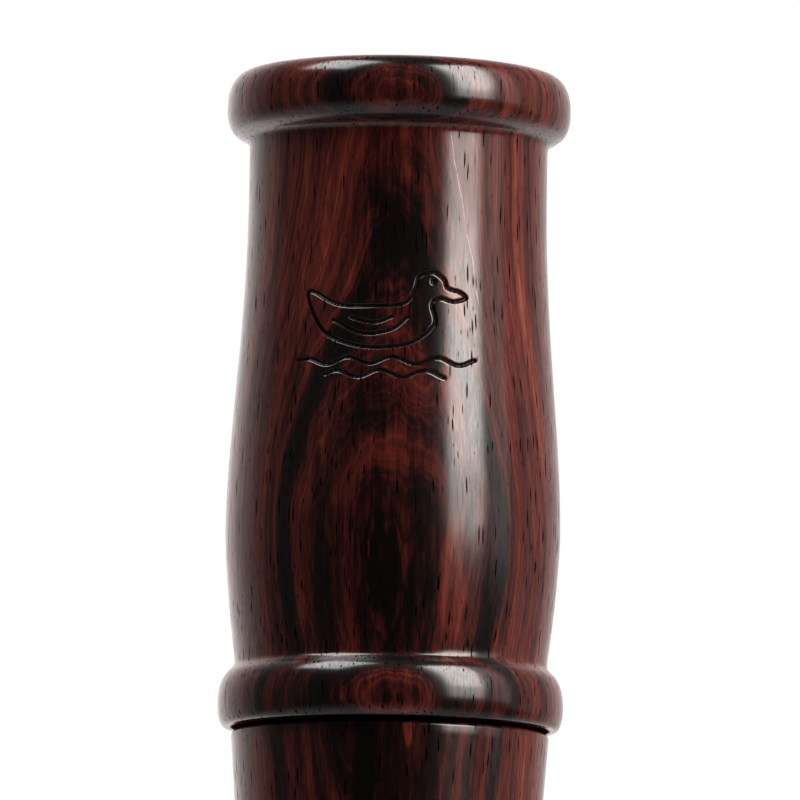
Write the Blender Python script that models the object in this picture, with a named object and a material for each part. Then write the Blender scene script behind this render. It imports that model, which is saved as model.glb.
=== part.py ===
"""Turned wooden duck call: barrel, insert, tone board, seals, wedge and reeds.

The call stands upright on the exhaust end of its insert. The origin is on that
face, on the turning axis, with +Z up to the mouth end. The reeds face -Y.
Lengths are in metres.
"""

import bpy
import bmesh
from math import cos, pi, radians, sin, sqrt, tan
from mathutils import Vector

MM = 0.001
SEGMENTS = 48                      # sides of every turned surface

# Barrel, the mouth-end piece. Heights are above the barrel's lower face.
BARREL_LENGTH = 70.6 * MM
BEAD_DIAMETER = 37.0 * MM          # rounded bead at each end of the barrel
NECK_DIAMETER = 32.1 * MM          # slimmest place, under the upper bead
SWELL_DIAMETER = 35.94 * MM        # widest place between the beads
SHOULDER_DIAMETER = 33.6 * MM      # where the swelling meets the crease
CREASE_DIAMETER = 32.3 * MM        # bottom of the crease over the lower bead
UPPER_BEAD_HEIGHT = 6.75 * MM
UPPER_CROWN_DROP = 3.8 * MM        # widest line of the upper bead, below the top
UPPER_BEAD_FILLET = 0.7 * MM       # between the upper bead and the neck
NECK_DROP = 11.6 * MM              # slimmest place, below the top
SWELL_HEIGHT = 21.0 * MM           # widest place of the swelling
CREASE_HEIGHT = 6.4 * MM
CREASE_WIDTH = 1.3 * MM            # from the crease up to the shoulder
LOWER_CROWN_HEIGHT = 2.55 * MM     # widest line of the lower bead
LIP_DIAMETER = 32.4 * MM           # where the upper bead turns over into the mouth face
FOOT_DIAMETER = 35.2 * MM          # edge of the barrel's lower face
BEAD_SQUARENESS = 2.25             # 2 is an ellipse, more is squarer
MOUTH_DISH = 0.9 * MM              # depth of the mouth face below its lip
MOUTH_ROUND = 2.2 * MM             # rounding of the bore's mouth

# Insert, the exhaust-end piece. Heights are above the exhaust face.
INSERT_LENGTH = 58.0 * MM
INSERT_TOP_DIAMETER = 34.0 * MM
INSERT_TOP_ROUND = 0.5 * MM
INSERT_COLLAR = 14.0 * MM          # straight taper below the top
INSERT_TAPER = radians(4.0)
WAIST_DIAMETER = 26.6 * MM
WAIST_HEIGHT = 23.0 * MM
RIM_DIAMETER = 33.0 * MM           # rolled rim round the exhaust
RIM_CROWN_HEIGHT = 4.6 * MM
RIM_FACE_DIAMETER = 29.0 * MM      # flat ring that the call stands on
EXHAUST_BORE_DIAMETER = 10.0 * MM
EXHAUST_MOUTH_DIAMETER = 19.0 * MM
EXHAUST_FLARE = 15.0 * MM          # height of the flared exhaust
SOCKET_DEPTH = 20.0 * MM           # the tone board is glued in to this depth
BARREL_GAP = 0.4 * MM              # shadow line between barrel and insert

# Tone board: a round rod, cut flat along its upper end. Heights above the insert's top.
ROD_DIAMETER = 15.1 * MM
ROD_REACH = 57.0 * MM              # how far the rod stands above the insert
ROD_CHAMFER = 0.6 * MM
BORE_CLEARANCE = 0.4 * MM          # round the rod in the barrel, where the seals grip
SOCKET_CLEARANCE = 0.3 * MM        # glue line round the rod and under it
GROOVE_HEIGHTS = (5.0 * MM, 11.5 * MM)
GROOVE_WIDTH = 2.1 * MM
GROOVE_DEPTH = 1.45 * MM
BED_SETBACK = 0.4 * MM             # the reed bed lies this far behind the axis
NOTCH_HEIGHT = 18.5 * MM           # foot of the notch that holds the wedge
NOTCH_LEAN = radians(24.0)         # the notch wall leans over the reeds
BED_FLAT_LEAD = 1.6 * MM           # the bed stays flat this far past the wedge
BED_RADIUS = 300.0 * MM            # and then falls away on this radius
CHANNEL_WIDTH = 4.6 * MM
CHANNEL_TIP_LAND = 6.0 * MM        # solid bed between the channel's round end and the tip
CHANNEL_DEPTH_LOW = 4.9 * MM       # channel floor behind the bed, at the notch
CHANNEL_DEPTH_HIGH = 2.3 * MM      # and at its round end
BORE_HOLE_DIAMETER = 6.0 * MM      # drilled from the exhaust into the channel
BORE_HOLE_SETBACK = 2.9 * MM       # its axis, behind the rod's

# Seals, in the rod's grooves
SEAL_CORD_DIAMETER = 1.45 * MM
SEAL_CLEARANCE = 0.2 * MM          # to the groove's floor

# Reeds and their wedge
REED_WIDTH = 12.7 * MM
REED_THICKNESS = 0.3 * MM
REED_GAP = 0.3 * MM                # bed to reed, reed to reed, reed to wedge
REED_BUTT_SETBACK = 2.1 * MM       # from the foot of the notch to the reeds' butt ends
REED_TIP_SETBACK = 1.0 * MM        # the lower reed stops this far short of the rod's tip
REED_STAGGER = 2.8 * MM            # and the upper reed this far short of the lower one
REED_CORNER = 2.4 * MM             # clipped corners at the tip
WEDGE_LENGTH = 9.9 * MM            # from the foot of the notch to the wedge's front
PIVOT_SETBACK = 1.6 * MM           # the reeds bend this far inside the wedge's front
WEDGE_INSET = 0.25 * MM            # the wedge stays inside the rod's round surface
WEDGE_FRONT_SLOPE = radians(8.0)

# Places worked out from the sizes
BARREL_BASE = INSERT_LENGTH + BARREL_GAP
BORE_RADIUS = ROD_DIAMETER / 2 + BORE_CLEARANCE
ROD_BOTTOM = INSERT_LENGTH - SOCKET_DEPTH + SOCKET_CLEARANCE
ROD_TOP = INSERT_LENGTH + ROD_REACH
SOCKET_RADIUS = ROD_DIAMETER / 2 + SOCKET_CLEARANCE
LOWER_REED_BACK = BED_SETBACK - REED_GAP
UPPER_REED_BACK = LOWER_REED_BACK - REED_THICKNESS - REED_GAP
WEDGE_BACK = UPPER_REED_BACK - REED_THICKNESS - REED_GAP
NOTCH_FOOT = INSERT_LENGTH + NOTCH_HEIGHT
WEDGE_FRONT = NOTCH_FOOT + WEDGE_LENGTH
REED_PIVOT = WEDGE_FRONT - PIVOT_SETBACK
REED_BUTT = NOTCH_FOOT + REED_BUTT_SETBACK
LOWER_REED_TIP = ROD_TOP - REED_TIP_SETBACK
UPPER_REED_TIP = LOWER_REED_TIP - REED_STAGGER
BED_FLAT_END = WEDGE_FRONT + BED_FLAT_LEAD
CHANNEL_TOP = ROD_TOP - CHANNEL_TIP_LAND
OUTSIDE = ROD_DIAMETER             # cutters reach this far from the axis, past the rod
CUT_MARGIN = 1.0 * MM              # and this far past its ends


def clear_scene():
    for thing in list(bpy.data.objects):
        bpy.data.objects.remove(thing)


def material(name, colour, roughness, metallic=0.0):
    made = bpy.data.materials.new(name)
    made.use_nodes = True
    shader = made.node_tree.nodes["Principled BSDF"]
    shader.inputs["Base Color"].default_value = (*colour, 1.0)
    shader.inputs["Roughness"].default_value = roughness
    shader.inputs["Metallic"].default_value = metallic
    made.diffuse_color = (*colour, 1.0)
    return made


def add_object(name, shape, finish=None):
    """Turn a bmesh into an object with smooth round faces and crisp edges."""
    mesh = bpy.data.meshes.new(name)
    bmesh.ops.recalc_face_normals(shape, faces=shape.faces)
    shape.to_mesh(mesh)
    shape.free()
    mesh.shade_smooth()
    mesh.set_sharp_from_angle(angle=radians(32.0))
    made = bpy.data.objects.new(name, mesh)
    bpy.context.scene.collection.objects.link(made)
    if finish:
        mesh.materials.append(finish)
    return made


def bead_arc(foot_radius, crown_height, reach, rise, start, end, steps, squareness=BEAD_SQUARENESS):
    """Part of a squared ellipse about (foot_radius, crown_height), angles in degrees."""
    points = []
    for step in range(steps + 1):
        angle = radians(start + (end - start) * step / steps)
        across = abs(cos(angle)) ** (2.0 / squareness)
        along = abs(sin(angle)) ** (2.0 / squareness)
        along = along if sin(angle) >= 0.0 else -along
        points.append((foot_radius + reach * across, crown_height + rise * along))
    return points


def arc(centre_radius, centre_height, size, start, end, steps):
    """Part of a circle in the turning profile, angles in degrees."""
    return bead_arc(centre_radius, centre_height, size, size, start, end, steps, 2.0)


def hollow_arc(centre_radius, centre_height, size, start, end, steps):
    """Part of a circle that bends towards the axis from its centre, angles in degrees."""
    return [(2.0 * centre_radius - radius, height)
            for radius, height in arc(centre_radius, centre_height, size, start, end, steps)]


def sweep(start, end, steps, bend=1.0, both=True):
    """Points between two radii and heights; both ends run level, or only the first."""
    points = []
    for step in range(steps + 1):
        part = step / steps
        eased = part ** bend
        if both:
            eased = eased * eased * (3.0 - 2.0 * eased)
        radius = start[0] + (end[0] - start[0]) * eased
        points.append((radius, start[1] + (end[1] - start[1]) * part))
    return points


def blend_curve(start, start_slope, end, end_slope, steps):
    """Cubic between two (radius, height) points; slopes are radius lost per height dropped."""
    drop = start[1] - end[1]
    points = []
    for step in range(steps + 1):
        t = step / steps
        radius = ((2 * t ** 3 - 3 * t ** 2 + 1) * start[0]
                  + (t ** 3 - 2 * t ** 2 + t) * start_slope * drop
                  + (3 * t ** 2 - 2 * t ** 3) * end[0]
                  + (t ** 3 - t ** 2) * end_slope * drop)
        points.append((radius, start[1] - drop * t))
    return points


def turned(name, profile, finish):
    """Turn a closed profile of (radius, height) points round the Z axis."""
    shape = bmesh.new()
    rings = []
    for radius, height in profile:
        if radius < 1e-7:
            rings.append([shape.verts.new((0.0, 0.0, height))])
            continue
        ring = []
        for side in range(SEGMENTS):
            angle = 2.0 * pi * side / SEGMENTS
            ring.append(shape.verts.new((radius * cos(angle), radius * sin(angle), height)))
        rings.append(ring)
    for one, two in zip(rings, rings[1:] + rings[:1]):
        if len(one) == 1 and len(two) == 1:
            continue
        for side in range(SEGMENTS):
            after = (side + 1) % SEGMENTS
            if len(one) == 1:
                shape.faces.new((one[0], two[side], two[after]))
            elif len(two) == 1:
                shape.faces.new((one[side], two[0], one[after]))
            else:
                shape.faces.new((one[side], two[side], two[after], one[after]))
    return add_object(name, shape, finish)


def prism(name, outline, low, high, finish=None):
    """Extrude an outline of (y, z) points from x = low to x = high."""
    shape = bmesh.new()
    face = shape.faces.new([shape.verts.new((low, y, z)) for y, z in outline])
    grown = bmesh.ops.extrude_face_region(shape, geom=[face])["geom"]
    moved = [item for item in grown if isinstance(item, bmesh.types.BMVert)]
    bmesh.ops.translate(shape, vec=(high - low, 0.0, 0.0), verts=moved)
    return add_object(name, shape, finish)


def plate(name, outline, front, back, finish=None):
    """Extrude an outline of (x, z) points in y; front and back give y for a height."""
    shape = bmesh.new()
    near = [shape.verts.new((x, front(z), z)) for x, z in outline]
    far = [shape.verts.new((x, back(z), z)) for x, z in outline]
    shape.faces.new(near)
    shape.faces.new(far)
    for index in range(len(outline)):
        after = (index + 1) % len(outline)
        shape.faces.new((near[index], near[after], far[after], far[index]))
    return add_object(name, shape, finish)


def combine(target, cutter, operation="DIFFERENCE"):
    cutter.hide_render = True
    cutter.display_type = "WIRE"
    boolean = target.modifiers.new(cutter.name, "BOOLEAN")
    boolean.operation = operation
    boolean.object = cutter


def set_pivot(piece, pivot):
    """Put an object's origin on its joint's axis and leave its shape in place."""
    for vertex in piece.data.vertices:
        vertex.co -= pivot
    piece.location = pivot


def barrel_outline():
    """Outer side from the lip down to the foot, then up the bore to the dished mouth."""
    top = BARREL_LENGTH
    crown = BEAD_DIAMETER / 2
    lip = LIP_DIAMETER / 2
    neck = NECK_DIAMETER / 2
    under = neck + UPPER_BEAD_FILLET
    under_height = top - UPPER_BEAD_HEIGHT
    crown_height = top - UPPER_CROWN_DROP
    crease = CREASE_DIAMETER / 2
    foot = FOOT_DIAMETER / 2
    shoulder = (SHOULDER_DIAMETER / 2, CREASE_HEIGHT + CREASE_WIDTH)
    swell = (SWELL_DIAMETER / 2, SWELL_HEIGHT)
    points = bead_arc(lip, crown_height, crown - lip, UPPER_CROWN_DROP, 90, 0, 7)
    points += bead_arc(under, crown_height, crown - under, crown_height - under_height, 0, -90, 5)[1:]
    points += hollow_arc(under, under_height - UPPER_BEAD_FILLET, UPPER_BEAD_FILLET, 90, 0, 3)[1:]
    points += sweep((neck, top - NECK_DROP), swell, 9, bend=1.2)
    points += sweep(swell, shoulder, 4, bend=1.5, both=False)[1:]
    points.append((crease, CREASE_HEIGHT))
    points += bead_arc(crease, LOWER_CROWN_HEIGHT, crown - crease,
                       CREASE_HEIGHT - LOWER_CROWN_HEIGHT, 78, 0, 5)
    points += bead_arc(foot, LOWER_CROWN_HEIGHT, crown - foot, LOWER_CROWN_HEIGHT, 0, -90, 4)[1:]
    points.append((BORE_RADIUS, 0.0))
    mouth = top - MOUTH_DISH
    points.append((BORE_RADIUS, mouth - MOUTH_ROUND))
    points += hollow_arc(BORE_RADIUS + MOUTH_ROUND, mouth - MOUTH_ROUND, MOUTH_ROUND, 0, 90, 4)[1:]
    return [(radius, height + BARREL_BASE) for radius, height in points]


def insert_outline():
    """Outer side from the top down to the standing ring, then up the exhaust and socket."""
    top_radius = INSERT_TOP_DIAMETER / 2
    collar_height = INSERT_LENGTH - INSERT_COLLAR
    collar = (top_radius - INSERT_COLLAR * tan(INSERT_TAPER), collar_height)
    waist = (WAIST_DIAMETER / 2, WAIST_HEIGHT)
    rim = RIM_DIAMETER / 2
    rim_face = RIM_FACE_DIAMETER / 2
    exhaust = EXHAUST_BORE_DIAMETER / 2
    mouth = EXHAUST_MOUTH_DIAMETER / 2
    socket_floor = INSERT_LENGTH - SOCKET_DEPTH
    points = arc(top_radius - INSERT_TOP_ROUND, INSERT_LENGTH - INSERT_TOP_ROUND,
                 INSERT_TOP_ROUND, 90, 0, 3)
    # the taper runs into the waist without a corner
    points += blend_curve(collar, -tan(INSERT_TAPER), waist, 0.0, 7)
    points += sweep(waist, (rim, RIM_CROWN_HEIGHT), 8, bend=1.25)[1:]
    points += bead_arc(rim_face, RIM_CROWN_HEIGHT, rim - rim_face, RIM_CROWN_HEIGHT, 0, -90, 5)[1:]
    points += [(mouth, 0.0)]
    points += sweep((exhaust, EXHAUST_FLARE), (mouth, 0.0), 6, bend=1.9, both=False)[-2::-1]
    points += [(exhaust, socket_floor)]
    points += [(SOCKET_RADIUS, socket_floor)]
    points += [(SOCKET_RADIUS, INSERT_LENGTH)]
    return points


def rod_outline():
    """Round rod from top to bottom, with a groove for each seal."""
    radius = ROD_DIAMETER / 2
    floor = radius - GROOVE_DEPTH
    points = [(0.0, ROD_TOP), (radius - ROD_CHAMFER, ROD_TOP), (radius, ROD_TOP - ROD_CHAMFER)]
    for groove in sorted(GROOVE_HEIGHTS, reverse=True):
        middle = INSERT_LENGTH + groove
        above = middle + GROOVE_WIDTH / 2
        below = middle - GROOVE_WIDTH / 2
        points += [(radius, above), (floor, above), (floor, below), (radius, below)]
    points += [(radius, ROD_BOTTOM + ROD_CHAMFER), (radius - ROD_CHAMFER, ROD_BOTTOM)]
    points += [(0.0, ROD_BOTTOM)]
    return points


def bed_depth(height):
    """y of the reed bed at a height."""
    beyond = max(0.0, height - BED_FLAT_END)
    return BED_SETBACK + BED_RADIUS - sqrt(BED_RADIUS ** 2 - beyond ** 2)


def bed_cutter():
    """Everything in front of the bed, with the leaning notch wall at its lower end."""
    past_tip = ROD_TOP + CUT_MARGIN
    outline = [(BED_SETBACK, NOTCH_FOOT)]
    steps = 12
    for step in range(steps + 1):
        height = BED_FLAT_END + (past_tip - BED_FLAT_END) * step / steps
        outline.append((bed_depth(height), height))
    outline.append((-OUTSIDE, past_tip))
    outline.append((-OUTSIDE, NOTCH_FOOT + (OUTSIDE + BED_SETBACK) * tan(NOTCH_LEAN)))
    return prism("bed_cutter", outline, -OUTSIDE, OUTSIDE)


def channel_cutter():
    """Open channel with a round end and a floor that rises towards the tip."""
    half = CHANNEL_WIDTH / 2
    low = NOTCH_FOOT + REED_GAP
    centre = CHANNEL_TOP - half
    outline = [(half, low)]
    outline += [(half * cos(radians(angle)), centre + half * sin(radians(angle)))
                for angle in range(0, 181, 20)]
    outline += [(-half, low)]

    def floor(z):
        part = (z - low) / (CHANNEL_TOP - low)
        return BED_SETBACK + CHANNEL_DEPTH_LOW + (CHANNEL_DEPTH_HIGH - CHANNEL_DEPTH_LOW) * part

    return plate("channel_cutter", outline, lambda z: BED_SETBACK - REED_GAP, floor)


def bore_hole_cutter():
    """Drilled hole from the rod's lower end into the channel."""
    shape = bmesh.new()
    low = ROD_BOTTOM - CUT_MARGIN
    high = NOTCH_FOOT + CHANNEL_WIDTH
    bmesh.ops.create_cone(shape, cap_ends=True, segments=24, radius1=BORE_HOLE_DIAMETER / 2,
                          radius2=BORE_HOLE_DIAMETER / 2, depth=high - low)
    bmesh.ops.translate(shape, vec=(0.0, BORE_HOLE_SETBACK, (low + high) / 2), verts=shape.verts)
    return add_object("bore_hole_cutter", shape)


def make_tone_board(finish):
    rod = turned("tone_board", rod_outline(), finish)
    for cutter in (bed_cutter(), channel_cutter(), bore_hole_cutter()):
        combine(rod, cutter)
    return rod


def make_seal(name, groove_height, finish):
    """Rubber ring in one of the rod's grooves."""
    size = SEAL_CORD_DIAMETER / 2
    middle = ROD_DIAMETER / 2 - GROOVE_DEPTH + SEAL_CLEARANCE + size
    profile = arc(middle, 0.0, size, 90, -90, 6)
    profile += hollow_arc(middle, 0.0, size, -90, 90, 6)[1:-1]
    profile = [(radius, height + INSERT_LENGTH + groove_height) for radius, height in profile]
    return turned(name, profile, finish)


def make_reed(name, back, tip, finish):
    """Flat reed with clipped corners at its tip; its origin is where it bends."""
    half = REED_WIDTH / 2
    outline = [(-half, REED_BUTT), (half, REED_BUTT), (half, tip - REED_CORNER),
               (half - REED_CORNER, tip), (REED_CORNER - half, tip), (-half, tip - REED_CORNER)]
    reed = plate(name, outline, lambda z: back - REED_THICKNESS, lambda z: back, finish)
    middle = back - REED_THICKNESS / 2
    set_pivot(reed, Vector((0.0, middle, REED_PIVOT)))
    return reed


def make_wedge(finish):
    """Wedge that fills the notch over the reeds, rounded like the rod."""
    foot = NOTCH_FOOT + REED_GAP / cos(NOTCH_LEAN)
    rear_low = foot + (BED_SETBACK - WEDGE_BACK) * tan(NOTCH_LEAN)
    rear_high = foot + (BED_SETBACK + OUTSIDE) * tan(NOTCH_LEAN)
    front_high = WEDGE_FRONT + (OUTSIDE + WEDGE_BACK) * tan(WEDGE_FRONT_SLOPE)
    outline = [(WEDGE_BACK, rear_low), (WEDGE_BACK, WEDGE_FRONT),
               (-OUTSIDE, front_high), (-OUTSIDE, rear_high)]
    wedge = prism("wedge", outline, -ROD_DIAMETER / 2, ROD_DIAMETER / 2, finish)
    radius = ROD_DIAMETER / 2 - WEDGE_INSET
    corners = [(0.0, ROD_TOP), (radius, ROD_TOP), (radius, INSERT_LENGTH), (0.0, INSERT_LENGTH)]
    rounder = turned("wedge_rounder", corners, None)
    combine(wedge, rounder, "INTERSECT")
    return wedge


def main():
    clear_scene()
    wood = material("dark_red_wood", (0.16, 0.035, 0.018), 0.22)
    hard_rubber = material("black_hard_rubber", (0.015, 0.015, 0.016), 0.35)
    soft_rubber = material("black_rubber", (0.02, 0.02, 0.02), 0.6)
    cork = material("cork", (0.42, 0.24, 0.12), 0.85)
    film = material("reed_film", (0.72, 0.74, 0.72), 0.3)
    turned("barrel", barrel_outline(), wood)
    turned("insert", insert_outline(), wood)
    make_tone_board(hard_rubber)
    for name, height in zip(("o_ring_lower", "o_ring_upper"), GROOVE_HEIGHTS):
        make_seal(name, height, soft_rubber)
    make_wedge(cork)
    make_reed("reed_lower", LOWER_REED_BACK, LOWER_REED_TIP, film)
    make_reed("reed_upper", UPPER_REED_BACK, UPPER_REED_TIP, film)


main()
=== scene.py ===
"""Looks of a turned rosewood duck call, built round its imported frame."""

from math import copysign, cos, pi, radians, sin, sqrt, tan

import bmesh
import bpy
import numpy as np
from mathutils import Matrix, Vector


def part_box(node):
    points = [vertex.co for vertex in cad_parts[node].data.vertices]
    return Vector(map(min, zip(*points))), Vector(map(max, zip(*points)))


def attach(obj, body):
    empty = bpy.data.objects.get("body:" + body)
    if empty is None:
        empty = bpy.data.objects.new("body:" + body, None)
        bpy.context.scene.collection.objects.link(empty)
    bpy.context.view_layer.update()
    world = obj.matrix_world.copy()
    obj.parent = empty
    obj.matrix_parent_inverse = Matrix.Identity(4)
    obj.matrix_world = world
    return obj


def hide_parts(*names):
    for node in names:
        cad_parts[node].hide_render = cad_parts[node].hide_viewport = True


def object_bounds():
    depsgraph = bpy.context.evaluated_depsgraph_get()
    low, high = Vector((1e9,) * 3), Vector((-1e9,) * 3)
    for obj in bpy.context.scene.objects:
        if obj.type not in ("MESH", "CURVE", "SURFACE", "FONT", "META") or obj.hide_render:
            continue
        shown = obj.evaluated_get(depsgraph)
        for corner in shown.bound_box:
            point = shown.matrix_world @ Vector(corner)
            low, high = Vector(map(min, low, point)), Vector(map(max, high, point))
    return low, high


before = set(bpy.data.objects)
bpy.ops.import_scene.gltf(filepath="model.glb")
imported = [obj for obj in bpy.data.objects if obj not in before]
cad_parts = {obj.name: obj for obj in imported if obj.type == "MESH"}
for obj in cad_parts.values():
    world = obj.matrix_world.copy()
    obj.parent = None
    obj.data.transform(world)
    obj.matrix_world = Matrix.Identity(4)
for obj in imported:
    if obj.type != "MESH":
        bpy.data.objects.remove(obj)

cad_low, cad_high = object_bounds()

MM = 0.001

# ------------ sizes
# The barrel and the insert take their ends from the frame; the rest of
# each profile is given here, in metres, as the turner would measure it.
BARREL_LOW, BARREL_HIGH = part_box("barrel")
INSERT_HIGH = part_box("insert")[1]
ROD_LOW, ROD_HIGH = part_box("tone_board")
BARREL_BASE = BARREL_LOW.z
BARREL_LENGTH = BARREL_HIGH.z - BARREL_LOW.z
BEAD_RADIUS = BARREL_HIGH.x
NECK_RADIUS = 16.05 * MM
SWELL_RADIUS = 17.97 * MM
SHOULDER_RADIUS = 16.8 * MM
CREASE_RADIUS = 16.15 * MM
UPPER_BEAD_HEIGHT = 6.75 * MM
UPPER_CROWN_DROP = 3.8 * MM
UPPER_BEAD_FILLET = 0.7 * MM
UPPER_COVE = 1.5 * MM  # how far down the neck the cove under the upper bead ends
UPPER_COVE_START = -66.0  # where on the upper bead it starts
NECK_DROP = 11.6 * MM
SWELL_HEIGHT = 21.0 * MM
CREASE_HEIGHT = 6.4 * MM
CREASE_WIDTH = 1.3 * MM
COVE_LEAN = 6.0  # lean of the wall where the cove starts, in degrees
COVE_END = 60.0  # where on the lower bead the cove ends
COVE_PULL = 0.55  # how long a cove keeps the direction of its ends
LOWER_CROWN_HEIGHT = 2.55 * MM
LIP_RADIUS = 16.2 * MM
FOOT_RADIUS = 17.6 * MM
BEAD_SQUARENESS = 2.25
MOUTH_DISH = 0.9 * MM
MOUTH_ROUND = 2.2 * MM
BORE_RADIUS = 7.95 * MM
EDGE_BREAK = 0.25 * MM

INSERT_LENGTH = INSERT_HIGH.z
INSERT_TOP_RADIUS = INSERT_HIGH.x
INSERT_TOP_ROUND = 0.5 * MM
INSERT_COLLAR = 14.0 * MM
INSERT_TAPER = radians(4.0)
WAIST_RADIUS = 13.3 * MM
WAIST_HEIGHT = 23.0 * MM
RIM_RADIUS = 16.5 * MM
RIM_CROWN_HEIGHT = 4.6 * MM
RIM_FACE_RADIUS = 14.5 * MM
EXHAUST_BORE_RADIUS = 5.0 * MM
EXHAUST_MOUTH_RADIUS = 9.5 * MM
EXHAUST_FLARE = 15.0 * MM
SOCKET_DEPTH = 20.0 * MM
SOCKET_RADIUS = 7.85 * MM

# Tone board, seals, reeds and wedge
ROD_RADIUS = 7.55 * MM
ROD_ROUND = 0.6 * MM
GROOVE_HEIGHTS = (5.0 * MM, 11.5 * MM)
GROOVE_WIDTH = 2.1 * MM
GROOVE_DEPTH = 1.45 * MM
GROOVE_LIP = 0.12 * MM
BED_SETBACK = 0.4 * MM
NOTCH_FOOT = INSERT_LENGTH + 18.5 * MM
NOTCH_LEAN = radians(24.0)
BED_RADIUS = 300.0 * MM
CHANNEL_WIDTH = 4.6 * MM
CHANNEL_TOP = ROD_HIGH.z - 6.0 * MM
CHANNEL_DEPTH_LOW = 4.9 * MM
CHANNEL_DEPTH_HIGH = 2.3 * MM
BORE_HOLE_RADIUS = 3.0 * MM
BORE_HOLE_SETBACK = 2.9 * MM
SEAL_CORD_RADIUS = 0.725 * MM
SEAL_CLEARANCE = 0.2 * MM
REED_WIDTH = 12.7 * MM
REED_THICKNESS = 0.3 * MM
REED_CORNER = 2.4 * MM
REED_TIP_ROUND = 0.7 * MM
REED_BUTT_ROUND = 0.3 * MM
REED_LOWER_BACK = 0.1 * MM
REED_UPPER_BACK = -0.5 * MM
REED_BUTT = NOTCH_FOOT + 2.1 * MM
WEDGE_FRONT = NOTCH_FOOT + 9.9 * MM
WEDGE_BACK = -1.1 * MM
WEDGE_INSET = 0.25 * MM
NOTCH_GAP = 0.3 * MM
WEDGE_FRONT_SLOPE = radians(8.0)
BED_FLAT_END = WEDGE_FRONT + 1.6 * MM
OUTSIDE = 2.0 * ROD_RADIUS
SEAL_SEAM = 0.035 * MM
SEAL_TRIM = 0.02 * MM  # the cord is this much thinner sideways, to leave room for the seam
ROD_EDGE = 0.12 * MM
REED_EDGE = 0.06 * MM
WEDGE_EDGE = 0.2 * MM
BEVEL_ANGLE = 30.0  # cut edges over this many degrees are softened
TURNED_SHARP = 50.0  # edges over this many degrees stay crisp
CUT_SHARP = 35.0
SEAL_SHARP = 60.0


# ------------ profiles
def bead_arc(centre_radius, centre_height, reach, rise, start, end, steps, squareness=BEAD_SQUARENESS):
    """Part of a squared ellipse about (centre_radius, centre_height), angles in degrees."""
    points = []
    for step in range(steps + 1):
        angle = radians(start + (end - start) * step / steps)
        across, along = (copysign(abs(part) ** (2.0 / squareness), part)
                         for part in (cos(angle), sin(angle)))
        points.append((centre_radius + reach * across, centre_height + rise * along))
    return points


def arc(centre_radius, centre_height, size, start, end, steps):
    """Part of a circle in the turning profile, angles in degrees."""
    return bead_arc(centre_radius, centre_height, size, size, start, end, steps, 2.0)


def sweep(start, end, steps, bend=1.0, both=True):
    """Points between two radii and heights; both ends run level, or only the first."""
    points = []
    for step in range(steps + 1):
        part = step / steps
        eased = part ** bend
        if both:
            eased = eased * eased * (3.0 - 2.0 * eased)
        radius = start[0] + (end[0] - start[0]) * eased
        points.append((radius, start[1] + (end[1] - start[1]) * part))
    return points


def blend_curve(start, slope, end, steps):
    """Cubic from a sloping start to an upright end; slope is radius gained per height dropped."""
    drop = start[1] - end[1]
    points = []
    for step in range(steps + 1):
        t = step / steps
        radius = ((2 * t ** 3 - 3 * t ** 2 + 1) * start[0]
                  + (t ** 3 - 2 * t ** 2 + t) * slope * drop
                  + (3 * t ** 2 - 2 * t ** 3) * end[0])
        points.append((radius, start[1] - drop * t))
    return points


def hollow(start, start_way, end, end_way, steps):
    """Smooth curve between two points, leaving and arriving along the given directions."""
    start, end = Vector(start), Vector(end)
    reach = (end - start).length * COVE_PULL
    first = start + Vector(start_way).normalized() * reach
    last = end - Vector(end_way).normalized() * reach
    points = []
    for step in range(steps + 1):
        t = step / steps
        place = (start * (1 - t) ** 3 + first * 3 * t * (1 - t) ** 2
                 + last * 3 * t ** 2 * (1 - t) + end * t ** 3)
        points.append((place.x, place.y))
    return points


def run_on(points, end, steps):
    """Carry a profile on in a straight line."""
    start = points[-1]
    points += [(start[0] + (end[0] - start[0]) * step / steps,
                start[1] + (end[1] - start[1]) * step / steps) for step in range(1, steps + 1)]


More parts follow.
